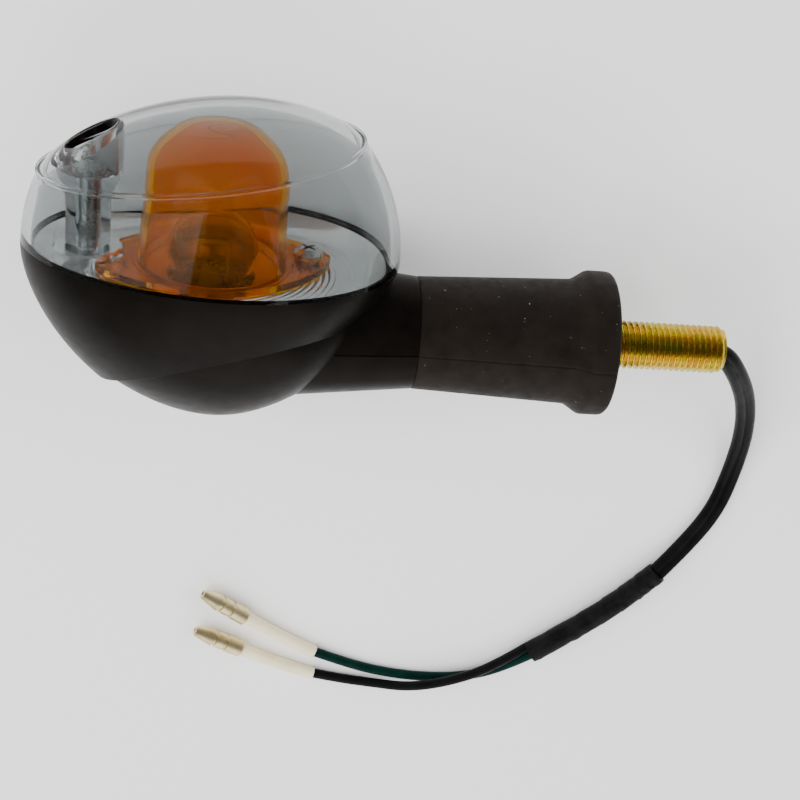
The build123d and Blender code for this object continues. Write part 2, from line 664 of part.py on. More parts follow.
def make_stud():
    """Hollow stud with turned grooves for its thread and a flange inside the rubber."""
    outline = [
        (STUD_FLANGE_X - STUD_FLANGE_THICKNESS, STUD_BORE_RADIUS),
        (STUD_FLANGE_X - STUD_FLANGE_THICKNESS, STUD_FLANGE_RADIUS),
        (STUD_FLANGE_X, STUD_FLANGE_RADIUS),
        (STUD_FLANGE_X, STUD_SHANK_RADIUS),
        (0, STUD_SHANK_RADIUS),
        (0, STUD_RADIUS),
    ]
    groove = STUD_PITCH - STUD_CREST_WIDTH
    x = STUD_CREST_WIDTH
    while x + STUD_PITCH < STUD_LENGTH - 0.6:
        outline.append((x, STUD_RADIUS))
        outline.append((x + groove / 2, STUD_RADIUS - STUD_THREAD_DEPTH))
        outline.append((x + groove, STUD_RADIUS))
        x += STUD_PITCH
    outline += [
        (x, STUD_RADIUS),
        (STUD_LENGTH - 0.2, STUD_RADIUS - 0.6),
        (STUD_LENGTH, STUD_RADIUS - 0.9),
        (STUD_LENGTH, STUD_BORE_RADIUS + 0.8),
        (STUD_LENGTH - 2.4, STUD_BORE_RADIUS),
    ]
    print("stud crests end at", round(x, 2))
    return turned_x(outline)


# ---------------------------------------------------------------- cable ends
def bullet(start, before, name):
    """Crimped bullet terminal that carries on in line with its sleeve, parallel to the surface."""
    origin = Vector(*start)
    heading = origin - Vector(*before)
    r = BULLET_RADIUS
    length = BULLET_LENGTH
    outline = Polyline(
        (0, 0), (0, r - 0.1), (0.1, r), (4.0, r), (4.3, r - 0.35), (4.6, r - 0.1), (6.8, r - 0.1),
        (7.1, r - 0.45), (7.5, r - 0.05), (8.6, r - 0.15), (length - 0.3, r - 0.85), (length, r - 1.1),
        (length, 0), close=True)
    body = revolve(make_face(outline), axis=Axis.X)
    place = Plane(origin=origin, x_dir=heading, z_dir=heading.cross(Vector(0, 0, 1)).cross(heading))
    print(name, "tip", place.from_local_coords(Vector(length, 0, 0)))
    return place * body


# ---------------------------------------------------------------- make every piece
housing, gasket = make_housing()
save(housing, "housing")
save(gasket, "lens_gasket")
save(make_reflector(), "reflector")
save(make_cap(), "amber_cap")
save(screw(CAP_SCREW_X, CAP_SCREW_Z, FLANGE_TOP_Y, 2.95, 2.0, CAP_SCREW_RADIUS, 9.0), "cap_screw")
save(make_lens(), "lens")
save(screw(COLUMN_X, 0, POCKET_FLOOR_Y, 3.2, 2.3, LENS_SCREW_RADIUS, 28.0), "lens_screw")

save(make_bulb_glass(), "bulb_glass")
save(make_bulb_base(), "bulb_base")
save(make_bulb_insulator(), "bulb_insulator")
save(make_bulb_contact(), "bulb_contact")
save(make_bulb_mount(), "bulb_filament")

save(make_socket(), "socket_shell")
save(make_carrier(), "contact_carrier")
save(make_live_contact(), "live_contact")
save(make_contact_spring(), "contact_spring")

save(make_stem(), "rubber_stem")
save(make_stud(), "hollow_stud")

save(rod_x(SHEATH_RADIUS, INNER_SHEATH_END_X, SHEATH_START_X), "inner_sheath")
save(tube(EARTH_LEAD_ROUTE, WIRE_RADIUS, "earth_lead"), "earth_lead")
save(tube(LIVE_LEAD_ROUTE, WIRE_RADIUS, "live_lead"), "live_lead")

save(tube(SHEATH_ROUTE, SHEATH_RADIUS, "lead_sheath"), "lead_sheath")
save(tube(TAPE_ROUTE, TAPE_RADIUS, "tape_wrap"), "tape_wrap")
for colour, route, split, sleeve in (
    ("black", BLACK_ROUTE, BLACK_SPLIT, BLACK_SLEEVE_ROUTE),
    ("green", GREEN_ROUTE, GREEN_SPLIT, GREEN_SLEEVE_ROUTE),
):
    save(tube(route + [split], WIRE_RADIUS, colour + "_wire"), colour + "_wire")
    save(tube([split] + sleeve, SLEEVE_RADIUS, colour + "_sleeve"), colour + "_sleeve")
    save(bullet(sleeve[-1], sleeve[-2], colour + "_bullet"), colour + "_bullet")
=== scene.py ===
import json
from math import cos, pi, radians, sin, sqrt

import bmesh
import bpy
from mathutils import Matrix, Vector, noise


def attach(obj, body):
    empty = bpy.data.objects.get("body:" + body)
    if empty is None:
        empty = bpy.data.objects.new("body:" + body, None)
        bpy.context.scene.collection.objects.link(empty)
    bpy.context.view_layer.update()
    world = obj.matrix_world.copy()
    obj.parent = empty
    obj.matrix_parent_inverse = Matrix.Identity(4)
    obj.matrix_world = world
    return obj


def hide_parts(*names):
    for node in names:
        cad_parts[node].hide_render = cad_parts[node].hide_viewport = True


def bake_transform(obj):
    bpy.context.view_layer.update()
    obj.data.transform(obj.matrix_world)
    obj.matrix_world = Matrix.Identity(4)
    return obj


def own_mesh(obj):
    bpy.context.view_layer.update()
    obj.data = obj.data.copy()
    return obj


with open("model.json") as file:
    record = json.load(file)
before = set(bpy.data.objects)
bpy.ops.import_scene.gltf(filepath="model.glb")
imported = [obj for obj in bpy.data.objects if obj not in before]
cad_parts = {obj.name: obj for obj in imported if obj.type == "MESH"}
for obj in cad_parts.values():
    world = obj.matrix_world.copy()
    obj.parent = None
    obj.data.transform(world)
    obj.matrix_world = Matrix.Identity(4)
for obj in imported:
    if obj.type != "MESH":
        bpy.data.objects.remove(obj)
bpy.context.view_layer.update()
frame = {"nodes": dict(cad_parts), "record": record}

MM = 0.001
HALVINGS = 30                  # steps of a search by halving

# ---------------------------------------------------------------- sizes in millimetres, angles in radians
FLOOR_Z = -27.6
HEAD_X, HEAD_LENGTH, HEAD_WIDTH, HEAD_EGG = -82.8, 37.66, 27.45, 0.072
RIM_Y = 16.1
LENS_HEIGHT, LENS_POWER, LENS_WALL = 37.8, 1.93, 2.0
RING_X, RING_Y, RING_TILT = -86.0, 35.3, radians(9.3)
DOME_HEIGHT, DOME_FULLNESS = 9.9, 1.11
COLUMN_X, COLUMN_RADIUS, COLUMN_FOOT_Y = -107.3, 4.45, 15.4
POCKET_RADIUS, POCKET_FLOOR_Y = 5.2, 30.5
SCREW_HOLE_RADIUS = 1.9
LAMP_X = -82.7
STUD_RADIUS, STUD_PITCH, STUD_LENGTH, STUD_BORE = 5.0, 1.25, 25.0, 3.0
THREAD_DEPTH, LEAD_IN_LENGTH, LEAD_IN_DROP, RUN_OUT_LENGTH = 0.68, 1.2, 0.75, 0.8
STUD_FLANGE_RADIUS, MOULDED_RADIUS = 9.5, 4.6
SHOULDER = 1.7                 # how much thicker the lens is under its ring than elsewhere
BOWL_DEPTH, BOWL_POWER, BOWL_DRIFT = 36.6, 1.446, -0.18
CREASE_TOP_X, CREASE_TOP_Y, CREASE_CURVE = -52.0, 5.8, 0.0065
EDGE_RADIUS, EDGE_SINK = 0.36, 0.28
EDGE_GAP_COSINE = 0.9          # the neck takes the edge's place on this side
PLATE_TOP_Y, SKIRT_TOP_Y, SKIRT_WIDTH, REFLECTOR_INSET = 12.3, 15.6, 4.5, 2.7
DISH_RADIUS, DISH_FLOOR_Y, BULB_HOLE_RADIUS = 13.0, 10.7, 8.8
RIB_PITCH, RIB_DEPTH, PLATE_THICKNESS = 1.15, 0.3, 1.0
PAD_TOP_Y, PAD_RADIUS, PAD_HEIGHT = 15.3, 6.9, 3.8
PEG_REACH, FLANGE_TURN, PEG_TOP_Y, PEG_RADIUS = 19.0, radians(11), 14.6, 1.5
STEM_END_X, STEM_END_RADIUS, COLLAR_RADIUS = -40.7, 11.6, 15.0
PARTING_DEPTH, PARTING_HALF_ANGLE, GROOVED_RADIUS = 0.14, 0.018, 11.0
INNER_END_X, INNER_RADIUS = -36.0, 2.2
SHEATH_WIDTH, SHEATH_THICKNESS = 4.6, 2.7
TAPE_RADIUS = 2.85
WIRE_RADIUS = 1.15
SLEEVE_RADIUS = 1.45
BULLET_RADIUS, BULLET_LENGTH = 2.1, 12.4
CRIMP_X, CRIMP_REACH, CRIMP_DEPTH = 2.0, 1.6, 0.22

SHEATH_Z = FLOOR_Z + SHEATH_THICKNESS / 2 + 0.1
TAPE_Z = FLOOR_Z + 2.95
WIRE_Z = FLOOR_Z + 1.2
SLEEVE_Z = FLOOR_Z + 1.5
BULLET_Z = FLOOR_Z + 2.15
HUMP_Z = WIRE_Z + 3.4


def metres(points):
    return [Vector(p) * MM for p in points]


# ---------------------------------------------------------------- camera
def make_camera():
    """Looks down at the lamp from over its far end, as seen from the lens's side."""
    back = Vector((-0.1321, 0.4439, 0.8863))
    right = Vector((0.9899, 0.1066, 0.0941))
    target = Vector((-0.041618, -0.015745, 0.0))
    distance = 0.39554
    data = bpy.data.cameras.new("camera")
    data.lens = 84.9
    data.sensor_width = 36.0
    camera = bpy.data.objects.new("camera", data)
    bpy.context.collection.objects.link(camera)
    back.normalize()
    up = back.cross(right).normalized()
    turn = Matrix((up.cross(back), up, back)).transposed()
    camera.matrix_world = Matrix.Translation(target + back * distance) @ turn.to_4x4()
    bpy.context.scene.camera = camera


make_camera()


# ---------------------------------------------------------------- material tools
class Look:
    """A principled material with short calls for its nodes."""

    def __init__(self, name, **sockets):
        self.mat = bpy.data.materials.new(name)
        self.mat.use_nodes = True
        self.nodes = self.mat.node_tree.nodes
        self.links = self.mat.node_tree.links
        self.shader = self.nodes["Principled BSDF"]
        for key, value in sockets.items():
            self.shader.inputs[key.replace("_", " ")].default_value = value
        self.place = self.nodes.new("ShaderNodeTexCoord").outputs["Object"]

    def node(self, kind, links=None, **values):
        """New node. links maps its input names to outputs, values sets its properties or inputs."""
        node = self.nodes.new("ShaderNode" + kind)
        for key, value in values.items():
            if key in node.bl_rna.properties:
                setattr(node, key, value)
            else:
                node.inputs[key.replace("_", " ")].default_value = value
        for key, output in (links or {}).items():
            self.links.new(output, node.inputs[key])
        return node

    def noise(self, scale, detail=3.0):
        """Noise in row coordinates; scale is features per metre."""
        node = self.node("TexNoise", {"Vector": self.place}, Scale=scale, Detail=detail, Roughness=0.55)
        return node.outputs["Fac"]

    def ramp(self, fac, stops):
        """Colour ramp; stops are (place, grey value or colour)."""
        node = self.node("ValToRGB", {"Fac": fac})
        ramp = node.color_ramp
        for i, (place, colour) in enumerate(stops):
            element = ramp.elements[i] if i < 2 else ramp.elements.new(place)
            element.position = place
            element.color = (*colour, 1) if isinstance(colour, tuple) else (colour, colour, colour, 1)
        return node.outputs["Color"]

    def colour(self, output):
        self.links.new(output, self.shader.inputs["Base Color"])

    def rough(self, output):
        self.links.new(output, self.shader.inputs["Roughness"])

    def bump(self, *layers):
        """Stacked bumps; each layer is (height output, depth in mm, strength)."""
        normal = None
        for height, depth, strength in layers:
            node = self.node("Bump", {"Height": height}, Distance=depth * MM, Strength=strength)
            if normal:
                self.links.new(normal, node.inputs["Normal"])
            normal = node.outputs["Normal"]
        self.links.new(normal, self.shader.inputs["Normal"])


def black_moulded():
    """Semi-matt black plastic with a fine satin grain and a faint warm sheen."""
    look = Look("black_housing", Specular_IOR_Level=0.05, Specular_Tint=(1.0, 0.8, 0.66, 1))
    pores = look.noise(2600, 4)
    dark, light = (0.0022, 0.0018, 0.0015), (0.0046, 0.0038, 0.0032)
    look.colour(look.ramp(look.noise(160, 5), [(0.3, dark), (0.75, light)]))
    look.rough(look.ramp(look.noise(420, 5), [(0.25, 0.3), (0.8, 0.42)]))
    look.bump((look.noise(5200, 3), 0.02, 0.35), (pores, 0.01, 0.2))
    return look.mat


def black_rubber():
    """Matt brownish-black rubber with small pale specks of dust."""
    look = Look("black_rubber", Specular_IOR_Level=0.12, Specular_Tint=(1.0, 0.8, 0.66, 1))
    body = look.ramp(look.noise(220, 5), [(0.3, (0.006, 0.0048, 0.004)), (0.75, (0.011, 0.0088, 0.0072))])
    specks = look.ramp(look.noise(1900, 2), [(0.75, 0.0), (0.77, 1.0)])
    mix = look.node("MixRGB", {"Fac": specks, "Color1": body}, Color2=(0.32, 0.29, 0.26, 1))
    look.colour(mix.outputs["Color"])
    look.rough(look.ramp(look.noise(500, 5), [(0.25, 0.5), (0.8, 0.72)]))
    look.bump((look.noise(3800, 4), 0.03, 0.4), (look.noise(700, 3), 0.04, 0.2))
    return look.mat


def clear_plastic():
    """Thick clear lens plastic, tinted grey as painted shade for the dark surroundings that the lens would
    show.
    """
    look = Look("clear_lens", Roughness=0.0, IOR=1.25, Transmission_Weight=1.0, Specular_IOR_Level=0.06)
    # painted shade: the grey tint darkens the lens in place of the dark surroundings seen in it
    look.shader.inputs["Base Color"].default_value = (0.47, 0.495, 0.50, 1)
    look.bump((look.noise(90, 2), 0.04, 0.1))
    return look.mat


def amber_plastic():
    """Clear amber plastic, slightly uneven in colour and surface."""
    look = Look("amber_plastic", Roughness=0.0, IOR=1.22, Transmission_Weight=0.97, Specular_IOR_Level=0.2)
    look.colour(look.ramp(look.noise(120, 3), [(0.3, (0.96, 0.37, 0.0)), (0.75, (0.98, 0.44, 0.0))]))
    look.bump((look.noise(140, 2), 0.05, 0.15))
    return look.mat


def bulb_glass():
    """Thin blown glass, clear."""
    look = Look("bulb_glass", Roughness=0.0, IOR=1.5, Transmission_Weight=1.0)
    look.shader.inputs["Base Color"].default_value = (0.98, 0.98, 0.97, 1)
    look.bump((look.noise(150, 2), 0.03, 0.1))
    return look.mat


def metal(name, light, dark, rough=(0.2, 0.4), grain=900, bump=0.01):
    """Metal with mottled colour and roughness and a fine grain."""
    look = Look(name, Metallic=1.0)
    look.colour(look.ramp(look.noise(300, 4), [(0.3, dark), (0.7, light)]))
    look.rough(look.ramp(look.noise(grain, 4), [(0.3, rough[0]), (0.75, rough[1])]))
    look.bump((look.noise(grain * 2, 3), bump, 0.4))
    return look.mat


def yellow_zinc():
    """Yellow passivate with pink and green interference patches."""
    look = Look("yellow_zinc", Metallic=1.0)
    look.colour(look.ramp(look.noise(170, 4), [
        (0.32, (0.36, 0.32, 0.03)), (0.46, (0.62, 0.47, 0.035)), (0.57, (0.60, 0.36, 0.05)),
        (0.66, (0.46, 0.44, 0.04)), (0.8, (0.70, 0.56, 0.08))]))
    look.rough(look.ramp(look.noise(900, 4), [(0.3, 0.2), (0.75, 0.42)]))
    look.bump((look.noise(2600, 3), 0.015, 0.4))
    return look.mat


def vinyl(name, dark, light, rough=(0.28, 0.45), bump=0.02):
    """Cable insulation: soft satin vinyl with slight mottling."""
    look = Look(name, Specular_IOR_Level=0.05)
    look.colour(look.ramp(look.noise(260, 4), [(0.3, dark), (0.75, light)]))
    look.rough(look.ramp(look.noise(600, 4), [(0.3, rough[0]), (0.75, rough[1])]))
    look.bump((look.noise(1800, 3), bump, 0.35))
    return look.mat


def plain_plastic(name, dark, light, rough):
    """Moulded plastic, glass or board: vinyl's mottling at the given roughness."""
    return vinyl(name, dark, light, (rough, rough + 0.15), 0.03)


MATERIALS = {
    "black_housing": black_moulded(),
    "black_rubber": black_rubber(),
    "clear_lens": clear_plastic(),
    "amber_plastic": amber_plastic(),
    "bulb_glass": bulb_glass(),
    "chromed_plastic": metal(
        "chromed_plastic", (0.97, 0.97, 0.96), (0.95, 0.95, 0.94), (0.16, 0.22), 400, 0.002),
    "plated_screw": metal("plated_screw", (0.72, 0.72, 0.70), (0.56, 0.56, 0.54), (0.2, 0.4)),
    "nickel_brass": metal("nickel_brass", (0.78, 0.75, 0.66), (0.66, 0.62, 0.52), (0.15, 0.35)),
    "solder": metal("solder", (0.68, 0.68, 0.68), (0.5, 0.5, 0.51), (0.3, 0.5)),
    "filament_wire": metal("filament_wire", (0.5, 0.5, 0.52), (0.35, 0.35, 0.37), (0.3, 0.5)),
    "plated_steel": metal("plated_steel", (0.74, 0.71, 0.62), (0.6, 0.57, 0.48), (0.2, 0.4)),
    "contact_brass": metal("contact_brass", (0.83, 0.66, 0.34), (0.66, 0.5, 0.24), (0.2, 0.4)),
    "spring_steel": metal("spring_steel", (0.64, 0.64, 0.64), (0.46, 0.46, 0.47), (0.2, 0.4)),
    "tinned_brass": metal("tinned_brass", (0.90, 0.78, 0.46), (0.68, 0.56, 0.30), (0.38, 0.58), 900, 0.03),
    "yellow_zinc": yellow_zinc(),
    "black_pvc": vinyl("black_pvc", (0.003, 0.003, 0.0035), (0.006, 0.006, 0.006)),
    "green_pvc": vinyl("green_pvc", (0.001, 0.012, 0.009), (0.002, 0.02, 0.015)),
    "black_tape": vinyl("black_tape", (0.003, 0.003, 0.0035), (0.009, 0.009, 0.009), (0.24, 0.5), 0.12),
    "white_sleeve": plain_plastic("white_sleeve", (0.80, 0.70, 0.46), (0.92, 0.83, 0.58), 0.4),
    "black_glass": plain_plastic("black_glass", (0.01, 0.01, 0.012), (0.02, 0.02, 0.022), 0.1),
    "fibre_board": plain_plastic("fibre_board", (0.20, 0.09, 0.035), (0.36, 0.18, 0.08), 0.6),
}

CLEAR_SLOTS = ("clear_lens", "amber_plastic", "bulb_glass")      # these let the studio's light through

for part in frame["record"]["subparts"]:
    node = frame["nodes"][part["node"]]
    for index in range(max(1, len(node.material_slots))):
        if not node.material_slots:
            node.data.materials.append(None)
        node.material_slots[index].material = MATERIALS[part["material_slot"]]
    node.visible_shadow = part["material_slot"] not in CLEAR_SLOTS


def add_piece(name, data, body, slot, *nodes):
    """Links a new object, gives it material, body and slot, and hides the CAD nodes that it stands for."""
    piece = bpy.data.objects.new(name, data)
    bpy.context.collection.objects.link(piece)
    data.materials.append(MATERIALS[slot])
    if body:
        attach(piece, body)
    piece.visible_shadow = slot not in CLEAR_SLOTS
    if nodes:
        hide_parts(*nodes)
    return piece


# ---------------------------------------------------------------- cable
def route_curve(name, points, radius=0.0):
    """Smooth cord: one NURBS spline with the route's points as its control points."""
    curve = bpy.data.curves.new(name, "CURVE")
    curve.dimensions = "3D"
    spline = curve.splines.new("NURBS")
    spline.points.add(len(points) - 1)
    for point, co in zip(spline.points, metres(points)):
        point.co = (*co, 1)
    spline.order_u = 3
    spline.use_endpoint_u = True
    spline.resolution_u = 24
    curve.use_fill_caps = True
    curve.bevel_depth = radius * MM
    curve.bevel_resolution = 8
    return curve


def points_on(points):
    """Points along a route's smooth spline, in metres."""
    thin = bpy.data.objects.new("guide", route_curve("guide", points))
    bpy.context.collection.objects.link(thin)
    bpy.context.view_layer.update()
    mesh = bpy.data.meshes.new_from_object(thin.evaluated_get(bpy.context.evaluated_depsgraph_get()))
    found = [v.co.copy() for v in mesh.vertices]
    bpy.data.objects.remove(thin)
    return found


SHEATH_ROUTE = [
    (19, 0, 0), (25.2, 0, 0), (32, -8.5, -6), (37.8, -18.5, -14), (41.4, -30, -21), (42.4, -42, SHEATH_Z),
    (40.2, -53.2, SHEATH_Z), (34.8, -63.2, SHEATH_Z), (28.6, -70.4, TAPE_Z),
]
TAPE_ROUTE = [(28.6, -70.4, TAPE_Z), (24, -75.7, TAPE_Z), (13.6, -85.4, TAPE_Z), (1.1, -94.6, TAPE_Z)]
BLACK_ROUTE = [
    (0.36, -93.6, WIRE_Z + 0.9), (-8.2, -99.2, WIRE_Z + 2.4), (-18, -102.8, HUMP_Z),
    (-27.6, -104.9, HUMP_Z),
    (-36.8, -106, WIRE_Z + 0.3), (-45, -105.2, WIRE_Z), (-51, -103.8, SLEEVE_Z),
]
BLACK_SLEEVE_ROUTE = [(-51, -103.8, SLEEVE_Z), (-57.8, -102.1, SLEEVE_Z), (-68.9, -97, BULLET_Z)]
GREEN_ROUTE = [
    (1.84, -95.6, WIRE_Z + 0.9), (-5.8, -101.2, WIRE_Z), (-15.6, -103.8, WIRE_Z), (-26.4, -104, WIRE_Z),
    (-37, -102.4, WIRE_Z), (-45.4, -99.9, WIRE_Z), (-51.2, -97.6, SLEEVE_Z),
]
GREEN_SLEEVE_ROUTE = [(-51.2, -97.6, SLEEVE_Z), (-58.4, -94.2, SLEEVE_Z), (-68.4, -88, BULLET_Z)]


def skin(name, rings, capped=True, sharp=40):
    """Mesh through rings of points in mm. Capped closes both ends, or else the last ring joins the first."""
    body = bmesh.new()
    rows = [[body.verts.new(Vector(p) * MM) for p in ring] for ring in rings]
    pairs = list(zip(rows, rows[1:])) if capped else list(zip(rows, rows[1:] + rows[:1]))
    for low, high in pairs:
        for j in range(len(low)):
            body.faces.new((low[j - 1], low[j], high[j], high[j - 1]))
    if capped:
        body.faces.new(rows[0])
        body.faces.new(reversed(rows[-1]))
    bmesh.ops.recalc_face_normals(body, faces=body.faces)
    mesh = bpy.data.meshes.new(name)
    body.to_mesh(mesh)
    body.free()
    mesh.shade_smooth()
    mesh.set_sharp_from_angle(angle=radians(sharp))
    return mesh


def circle(count):
    return [2 * pi * j / count for j in range(count)]


def turned(name, profile, centre, axis="Y", sides=96, capped=True, sharp=40):
    """Turned shape. profile is (radius, place on the axis); centre is the axis's place in the other two."""
    rings = []
    for r, place in profile:
        round_axis = [(centre[0] + r * cos(t), centre[1] + r * sin(t)) for t in circle(sides)]
        rings.append([(a, place, b) if axis == "Y" else (place, a, b) for a, b in round_axis])
    return skin(name, rings, capped, sharp)


def along(points, sides, radius_at):
    """Mesh tube whose rings follow points; radius_at(share, angle) gives each vertex's radius in mm."""
    rings = []
    total = len(points) - 1
    for i, centre in enumerate(points):
        ahead = points[min(i + 1, total)] - points[max(i - 1, 0)]
        side = ahead.cross(Vector((0, 0, 1))).normalized()
        over = side.cross(ahead).normalized()
        middle, share = centre / MM, i / total
        rings.append([middle + (side * cos(t) + over * sin(t)) * radius_at(share, t) for t in circle(sides)])
    return skin("tube", rings)


def twin_radius(share, angle):
    """Flat twin cable: two round cores joined by a web."""
    core = SHEATH_THICKNESS / 2
    centre = SHEATH_WIDTH / 2 - core
    across, over = abs(cos(angle)), sin(angle)
    inside = core ** 2 - (centre * over) ** 2
    reach = centre * across + sqrt(max(inside, 0.0))
    return max(reach, core * 0.74 / max(abs(over), 0.1)) if across < 0.5 else reach


def tape_radius(share, angle):
    """Tape wound round the cable: overlapping turns, with wrinkles on the upper side."""
    turns = 5.5
    lap = (share * turns - angle / (2 * pi)) % 1.0
    wrinkle = noise.noise(Vector((share * 26, cos(angle) * 1.6, sin(angle) * 1.6)))
    upper = max(0.0, sin(angle)) ** 2
    return TAPE_RADIUS - 0.28 + 0.16 * lap + (0.05 + 0.10 * upper) * wrinkle


def bullet_mesh():
    """Crimped bullet: barrel with crimp dents, ring and tapered nose, turned about X."""
    r = BULLET_RADIUS
    barrel = [(0, r - 0.55), (0, r - 0.12), (0.12, r), (3.9, r), (4.15, r - 0.4), (4.5, r - 0.4)]
    ring_part = [(4.7, r - 0.1), (6.7, r - 0.1), (6.95, r - 0.5), (7.35, r - 0.5), (7.55, r - 0.05)]
    nose = [(8.5, r - 0.15), (10.2, r - 0.5), (11.9, r - 0.85), (12.25, r - 1.0),
            (BULLET_LENGTH - 0.02, r - 1.35), (BULLET_LENGTH - 0.25, r - 1.6), (8.0, r - 1.7)]
    rings = []
    for x, radius in barrel + ring_part + nose:
        depth = CRIMP_DEPTH * max(0.0, 1 - ((x - CRIMP_X) / CRIMP_REACH) ** 2)
        ring = []
        for t in circle(48):
            dented = radius - depth * max(0.0, cos(2 * t)) ** 3
            ring.append((x, dented * cos(t), dented * sin(t)))
        rings.append(ring)
    return skin("bullet", rings, sharp=30)


def make_cable():
    path = points_on(SHEATH_ROUTE)
    sheath = add_piece("twin_cable", along(path, 64, twin_radius), "stem", "black_pvc", "lead_sheath")
    wound = along(points_on(TAPE_ROUTE), 48, tape_radius)
    tape = add_piece("tape", wound, "stem", "black_tape", "tape_wrap")
    for colour, route, sleeve_route in (
        ("black", BLACK_ROUTE, BLACK_SLEEVE_ROUTE), ("green", GREEN_ROUTE, GREEN_SLEEVE_ROUTE),
    ):
        wire = add_piece(colour + "_core", route_curve(colour + "_core", route, WIRE_RADIUS),
                         "stem", colour + "_pvc", colour + "_wire")
        steps = points_on(sleeve_route)
        sleeve = add_piece(colour + "_crimp_sleeve", along(steps, 40, lambda share, angle: SLEEVE_RADIUS),
                           "stem", "white_sleeve", colour + "_sleeve")
        tip = add_piece(colour + "_terminal", bullet_mesh(), "stem", "tinned_brass", colour + "_bullet")
        heading = (steps[-1] - steps[-2]).normalized()
        side = Vector((0, 0, 1)).cross(heading).normalized()
        turn = Matrix((heading, side, heading.cross(side))).transposed()
        tip.data.transform(Matrix.Translation(steps[-1]) @ turn.to_4x4())


make_cable()


# ---------------------------------------------------------------- lens
def shrink(share, power):
    """Size left at a share of the height of a dome whose outline is a superellipse."""
    return (1 - abs(share) ** power) ** (1 / power)


def lens_point(height, inset, t):
    """Point of the lens wall at a height above the rim."""
    size = shrink(height / LENS_HEIGHT, LENS_POWER)
    x = HEAD_X + (HEAD_LENGTH * size - inset) * cos(t)
    return Vector((x, RIM_Y + height, (HEAD_WIDTH * size - inset) * sin(t) * (1 + HEAD_EGG * cos(t))))


RING_UP = Vector((-sin(RING_TILT), cos(RING_TILT), 0))
RING_CENTRE = Vector((RING_X, RING_Y, 0))


def ring_height(lowered, inset, t):
    """Height above the rim where the wall meets the ring's plane, by halving the interval."""
    low, high = 0.0, 0.9 * LENS_HEIGHT
    for _ in range(HALVINGS):
        middle = (low + high) / 2
        if (lens_point(middle, inset, t) - RING_CENTRE).dot(RING_UP) + lowered < 0:
            low = middle
        else:
            high = middle
    return low


def dome_rise(rho):
    """Height of the dome over the ring's plane at a share of the way from its centre to its edge."""
    edge = sqrt(1 - 1 / DOME_FULLNESS ** 2)
    return DOME_HEIGHT * (sqrt(1 - (rho / DOME_FULLNESS) ** 2) - edge) / (1 - edge)


def lens_rings(inset, bead, sides=192):
    """Rings from the rim up the wall, over the ring's bead and across the dome to its middle."""
    angles = circle(sides)
    lowered = inset * SHOULDER
    tops = [ring_height(lowered, inset, t) for t in angles]
    rings = []
    wall_rows = 30
    for row in range(wall_rows):
        share = 0.985 * row / (wall_rows - 1)
        rings.append([lens_point(top * share, inset, t) for top, t in zip(tops, angles)])
    centre = RING_CENTRE - RING_UP * lowered
    edges = [lens_point(top, inset, t) - centre for top, t in zip(tops, angles)]
    for out, up in bead:
        rings.append([centre + e + e.normalized() * out + RING_UP * up for e in edges])
    dome_rows = 34
    start = 0.955 if bead else 0.995
    for row in range(dome_rows):
        rho = start * cos(pi / 2 * row / dome_rows)
        rise = dome_rise(rho) * (DOME_HEIGHT - inset + lowered) / DOME_HEIGHT
        rings.append([centre + e * rho + RING_UP * rise for e in edges])
    return rings


# The rounded ring where the wall meets the dome, as steps outwards and upwards from the wall's top edge.
BEAD = [
    (0.1, -0.35), (0.4, -0.2), (0.5, 0.1), (0.38, 0.45), (0.05, 0.62), (-0.3, 0.55), (-0.55, 0.45), (-0.8, 0.6),
]


def carve(base, cutter, operation):
    """Boolean of two meshes, as a new mesh."""
    first = bpy.data.objects.new("first", base)
    second = bpy.data.objects.new("second", cutter)
    bpy.context.collection.objects.link(first)
    bpy.context.collection.objects.link(second)
    step = first.modifiers.new("step", "BOOLEAN")
    step.operation = operation
    step.object = second
    step.solver = "EXACT"
    bpy.context.view_layer.update()
    mesh = bpy.data.meshes.new_from_object(first.evaluated_get(bpy.context.evaluated_depsgraph_get()))
    bpy.data.objects.remove(first)
    bpy.data.objects.remove(second)
    return mesh


def make_lens():
    outer = lens_rings(0, BEAD)
    shell = skin("lens_shell", list(reversed(lens_rings(LENS_WALL, []))) + outer)
    solid = skin("lens_solid", outer)
    pocket = POCKET_RADIUS
    top = RING_Y + DOME_HEIGHT
    column = turned("column", [
        (COLUMN_RADIUS - 0.3, COLUMN_FOOT_Y + 0.05), (COLUMN_RADIUS, COLUMN_FOOT_Y + 0.35),
        (COLUMN_RADIUS, POCKET_FLOOR_Y - 4), (pocket + 1.0, POCKET_FLOOR_Y - 0.8),
        (pocket + 1.3, POCKET_FLOOR_Y), (pocket + 1.3, top)], (COLUMN_X, 0))
    column = carve(column, solid, "INTERSECT")
    mesh = carve(shell, column, "UNION")
    recess = turned("recess", [
        (SCREW_HOLE_RADIUS, COLUMN_FOOT_Y - 1), (SCREW_HOLE_RADIUS, POCKET_FLOOR_Y),
        (pocket - 0.4, POCKET_FLOOR_Y), (pocket, POCKET_FLOOR_Y + 0.4), (pocket, top + 5)], (COLUMN_X, 0))
    mesh = carve(mesh, recess, "DIFFERENCE")
    mesh.shade_smooth()
    mesh.set_sharp_from_angle(angle=radians(35))
    mesh.materials.clear()
    add_piece("clear_lens_cover", mesh, "lens", "clear_lens", "lens")


make_lens()


